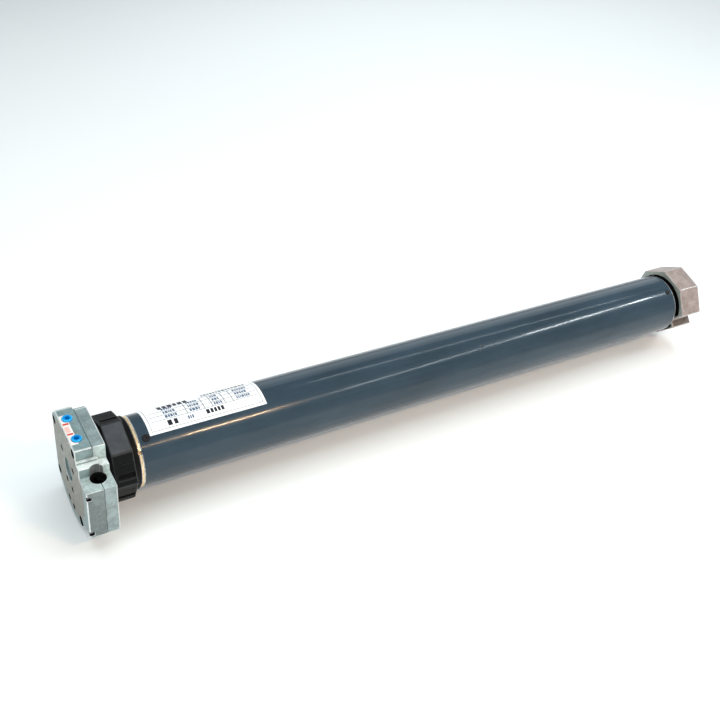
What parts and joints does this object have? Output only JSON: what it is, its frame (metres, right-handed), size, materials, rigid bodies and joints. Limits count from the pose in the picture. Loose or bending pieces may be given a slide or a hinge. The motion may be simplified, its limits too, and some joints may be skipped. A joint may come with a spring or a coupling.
{
  "type": "roller shutter motor",
  "caption": "Tubular shutter drive with a cast head, hand-crank worm drive, limit crown, long painted tube with motor and planetary gearbox inside, and an octagonal drive wheel.",
  "frame": {"origin": "centre of the head's mounting face, on the drive axis", "axes": "+X along the drive axis from the head to the drive wheel, +Z towards the side with the two limit screws, -Y towards the hand-crank block"},
  "size_m": [0.6593, 0.0862, 0.0879],
  "materials": {
    "cast_zinc": "cast, satin",
    "wheel_casting": "cast, satin",
    "tube_paint": "glossy dark slate paint",
    "crown_plastic": "matt black",
    "blue_plastic": "glossy blue",
    "golden_ring": "satin",
    "label_film": "printed white film",
    "sticker_film": "printed white and red film",
    "dark_screw": "blackened steel",
    "steel": "machined steel",
    "hardened_steel": "hardened steel",
    "bronze": "machined bronze",
    "inner_plastic": "moulded plastic",
    "white_plastic": "moulded plastic",
    "rubber": "matt rubber",
    "copper": "enamelled wire",
    "laminations": "stacked steel sheet",
    "friction": "brake lining"
  },
  "bodies": {
    "head": {"head_cover": "cast_zinc", "head_base": "cast_zinc", "cover_screws": "steel", "crank_bush": "steel", "limit_sticker": "sticker_film", "limit_unit_case": "inner_plastic", "limit_switch_up": "inner_plastic", "limit_switch_down": "inner_plastic", "head_bearing": "steel", "brush_block": "friction", "cable_grommet": "rubber"},
    "limit_screw_up": {"limit_screw_up": "blue_plastic"},
    "limit_screw_down": {"limit_screw_down": "blue_plastic"},
    "crank_worm": {"crank_worm": "hardened_steel"},
    "limit_pinion": {"limit_pinion": "bronze"},
    "crown": {"crown": "crown_plastic"},
    "motor": {"worm_wheel": "bronze", "tube_adapter": "cast_zinc", "retaining_ring": "golden_ring", "motor_tube": "tube_paint", "tube_screws_head": "dark_screw", "tube_screws_far": "dark_screw", "rating_label": "label_film", "slip_ring": "bronze", "capacitor": "white_plastic", "capacitor_cradle": "inner_plastic", "brake_coil": "copper", "rear_end_bell": "cast_zinc", "front_end_bell": "cast_zinc", "motor_bearings": "steel", "stator_core": "laminations", "stator_winding": "copper", "ring_gear": "hardened_steel", "end_flange": "cast_zinc", "output_bearing": "steel"},
    "brake_armature": {"brake_armature": "steel", "brake_spring": "steel"},
    "rotor": {"rotor_core": "laminations", "rotor_shaft": "steel", "brake_disc": "friction", "sun_gear_1": "hardened_steel"},
    "carrier_1": {"carrier_1": "steel", "sun_gear_2": "hardened_steel"},
    "carrier_2": {"carrier_2": "steel", "sun_gear_3": "hardened_steel"},
    "output": {"output_carrier": "steel", "drive_wheel": "wheel_casting", "wheel_washer": "steel", "wheel_screw": "dark_screw"},
    "planet_3a": {"planet_3a": "hardened_steel"},
    "planet_3b": {"planet_3b": "hardened_steel"},
    "planet_3c": {"planet_3c": "hardened_steel"},
    "planet_2a": {"planet_2a": "hardened_steel"},
    "planet_2b": {"planet_2b": "hardened_steel"},
    "planet_2c": {"planet_2c": "hardened_steel"},
    "planet_1a": {"planet_1a": "hardened_steel"},
    "planet_1b": {"planet_1b": "hardened_steel"},
    "planet_1c": {"planet_1c": "hardened_steel"}
  },
  "joints": [
    {"name": "tube_turn", "type": "hinge", "parent": "head", "child": "motor", "pos_m": [0.013, 0, 0], "axis": [1, 0, 0], "continuous": true},
    {"name": "crank_turn", "type": "hinge", "parent": "head", "child": "crank_worm", "pos_m": [0.0134, -0.0364, 0], "axis": [0, 0, 1], "continuous": true},
    {"name": "crown_spin", "type": "hinge", "parent": "head", "child": "crown", "pos_m": [0.036, 0, 0], "axis": [1, 0, 0], "continuous": true},
    {"name": "limit_pinion_spin", "type": "hinge", "parent": "head", "child": "limit_pinion", "pos_m": [0.022, 0, 0.0332], "axis": [1, 0, 0], "continuous": true},
    {"name": "limit_screw_up_turn", "type": "hinge", "parent": "head", "child": "limit_screw_up", "pos_m": [0.0062, 0.0135, 0.0395], "axis": [0, 0, 1], "continuous": true},
    {"name": "limit_screw_down_turn", "type": "hinge", "parent": "head", "child": "limit_screw_down", "pos_m": [0.0062, -0.0112, 0.0395], "axis": [0, 0, 1], "continuous": true},
    {"name": "drive_spin", "type": "hinge", "parent": "motor", "child": "output", "pos_m": [0.6, 0, 0], "axis": [1, 0, 0], "continuous": true},
    {"name": "carrier_2_spin", "type": "hinge", "parent": "motor", "child": "carrier_2", "pos_m": [0.53, 0, 0], "axis": [1, 0, 0], "continuous": true},
    {"name": "carrier_1_spin", "type": "hinge", "parent": "motor", "child": "carrier_1", "pos_m": [0.505, 0, 0], "axis": [1, 0, 0], "continuous": true},
    {"name": "rotor_spin", "type": "hinge", "parent": "motor", "child": "rotor", "pos_m": [0.387, 0, 0], "axis": [1, 0, 0], "continuous": true},
    {"name": "brake_release", "type": "slide", "parent": "motor", "child": "brake_armature", "axis": [-1, 0, 0], "range_m": [0, 0.0004], "stiffness_N_per_m": 4000, "springref_m": -0.004},
    {"name": "planet_3a_spin", "type": "hinge", "parent": "output", "child": "planet_3a", "pos_m": [0.55, 0.015, 0], "axis": [1, 0, 0], "continuous": true},
    {"name": "planet_3b_spin", "type": "hinge", "parent": "output", "child": "planet_3b", "pos_m": [0.55, -0.0075, 0.01299], "axis": [1, 0, 0], "continuous": true},
    {"name": "planet_3c_spin", "type": "hinge", "parent": "output", "child": "planet_3c", "pos_m": [0.55, -0.0075, -0.01299], "axis": [1, 0, 0], "continuous": true},
    {"name": "planet_2a_spin", "type": "hinge", "parent": "carrier_2", "child": "planet_2a", "pos_m": [0.519, 0.015, 0], "axis": [1, 0, 0], "continuous": true},
    {"name": "planet_2b_spin", "type": "hinge", "parent": "carrier_2", "child": "planet_2b", "pos_m": [0.519, -0.0075, 0.01299], "axis": [1, 0, 0], "continuous": true},
    {"name": "planet_2c_spin", "type": "hinge", "parent": "carrier_2", "child": "planet_2c", "pos_m": [0.519, -0.0075, -0.01299], "axis": [1, 0, 0], "continuous": true},
    {"name": "planet_1a_spin", "type": "hinge", "parent": "carrier_1", "child": "planet_1a", "pos_m": [0.495, 0.015, 0], "axis": [1, 0, 0], "continuous": true},
    {"name": "planet_1b_spin", "type": "hinge", "parent": "carrier_1", "child": "planet_1b", "pos_m": [0.495, -0.0075, 0.01299], "axis": [1, 0, 0], "continuous": true},
    {"name": "planet_1c_spin", "type": "hinge", "parent": "carrier_1", "child": "planet_1c", "pos_m": [0.495, -0.0075, -0.01299], "axis": [1, 0, 0], "continuous": true}
  ],
  "couplings": [
    {"joint": "crank_turn", "follows": "tube_turn", "ratio": 40},
    {"joint": "limit_pinion_spin", "follows": "crown_spin", "ratio": -6.5455},
    {"joint": "carrier_2_spin", "follows": "drive_spin", "ratio": 5},
    {"joint": "carrier_1_spin", "follows": "drive_spin", "ratio": 25},
    {"joint": "rotor_spin", "follows": "drive_spin", "ratio": 125},
    {"joint": "planet_3a_spin", "follows": "drive_spin", "ratio": -2.6667},
    {"joint": "planet_3b_spin", "follows": "drive_spin", "ratio": -2.6667},
    {"joint": "planet_3c_spin", "follows": "drive_spin", "ratio": -2.6667},
    {"joint": "planet_2a_spin", "follows": "drive_spin", "ratio": -13.333},
    {"joint": "planet_2b_spin", "follows": "drive_spin", "ratio": -13.333},
    {"joint": "planet_2c_spin", "follows": "drive_spin", "ratio": -13.333},
    {"joint": "planet_1a_spin", "follows": "drive_spin", "ratio": -66.667},
    {"joint": "planet_1b_spin", "follows": "drive_spin", "ratio": -66.667},
    {"joint": "planet_1c_spin", "follows": "drive_spin", "ratio": -66.667}
  ]
}
